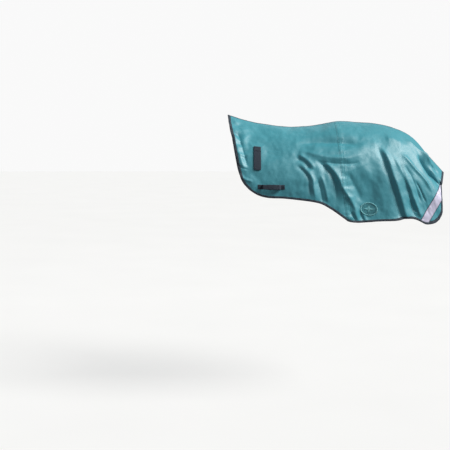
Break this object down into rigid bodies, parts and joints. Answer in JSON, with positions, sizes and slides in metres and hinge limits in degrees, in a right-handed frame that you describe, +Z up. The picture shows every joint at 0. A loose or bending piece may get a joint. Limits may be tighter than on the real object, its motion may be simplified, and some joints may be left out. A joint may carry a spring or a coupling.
{
  "type": "horse exercise rug",
  "caption": "Lined sheet worn under a saddle and over a horse's loin and croup, with bound edges, a reflective strip, girth loops and swinging hook-and-pile saddle tabs.",
  "frame": {"origin": "on the spine seam where the cloth rests on the lowest point of the horse's back, under the saddle's seat", "axes": "-X towards the horse's head along the spine, +X towards the tail, -Y to the horse's left, +Z up"},
  "size_m": [1.2411, 0.5996, 0.6155],
  "materials": {
    "shell_fabric": "coated teal canvas weave with a soft sheen",
    "lining_fabric": "matt navy lining weave",
    "binding": "ribbed navy tape, stitched",
    "webbing": "woven navy webbing",
    "seam_tape": "teal seam strip with rows of stitching",
    "reflective": "silver lilac retroreflective tape",
    "hook_and_pile": "fuzzy hook-and-pile fastener",
    "embroidery": "tone-on-tone satin stitch"
  },
  "bodies": {
    "rug": {"saddle_panel_left": "shell_fabric", "quarter_panel_left": "shell_fabric", "lining_left": "lining_fabric", "seam_tape_left": "seam_tape", "hem_binding_left": "binding", "strip_backing_left": "binding", "reflective_strip_left": "reflective", "badge_left": "embroidery", "girth_loop_left": "webbing", "tail_cord_loop_left": "webbing", "saddle_tab_base_left": "webbing", "saddle_tab_pile_left": "hook_and_pile", "saddle_panel_right": "shell_fabric", "quarter_panel_right": "shell_fabric", "lining_right": "lining_fabric", "seam_tape_right": "seam_tape", "hem_binding_right": "binding", "strip_backing_right": "binding", "reflective_strip_right": "reflective", "badge_right": "embroidery", "girth_loop_right": "webbing", "tail_cord_loop_right": "webbing", "saddle_tab_base_right": "webbing", "saddle_tab_pile_right": "hook_and_pile", "spine_tape": "binding", "front_binding": "binding", "rear_binding": "binding"},
    "left_tab": {"saddle_tab_left": "webbing", "saddle_tab_hook_left": "hook_and_pile"},
    "right_tab": {"saddle_tab_right": "webbing", "saddle_tab_hook_right": "hook_and_pile"}
  },
  "joints": [
    {"name": "left_tab_hinge", "type": "hinge", "parent": "rug", "child": "left_tab", "pos_m": [-0.19508, -0.19773, -0.13336], "axis": [-0.9911, 0.1061, 0.0805], "range_deg": [0, 150]},
    {"name": "right_tab_hinge", "type": "hinge", "parent": "rug", "child": "right_tab", "pos_m": [-0.19508, 0.19773, -0.13336], "axis": [0.9911, 0.1061, -0.0805], "range_deg": [0, 150]}
  ]
}
